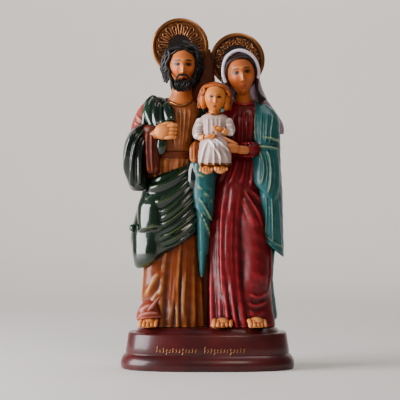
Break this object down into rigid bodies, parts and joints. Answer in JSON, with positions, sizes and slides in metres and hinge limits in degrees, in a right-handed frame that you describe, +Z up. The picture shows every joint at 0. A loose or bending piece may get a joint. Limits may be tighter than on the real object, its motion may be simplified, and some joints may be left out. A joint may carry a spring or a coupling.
{
  "type": "holy family statue",
  "caption": "Painted resin group of a bearded man, a veiled woman and a child, with haloes, cast as one and standing on an oval moulded plinth.",
  "frame": {"origin": "centre of the plinth's flat underside", "axes": "+Z up through the figures, -Y towards the faces, +X along the plinth's width, from the man's side to the woman's"},
  "size_m": [0.099, 0.06, 0.2],
  "materials": {
    "mahogany_lacquer": "glossy dark reddish-brown lacquer",
    "painted_resin": "hand-painted cast resin under clear lacquer"
  },
  "bodies": {
    "root": {"plinth": "mahogany_lacquer", "family_group": "painted_resin"}
  },
  "joints": []
}
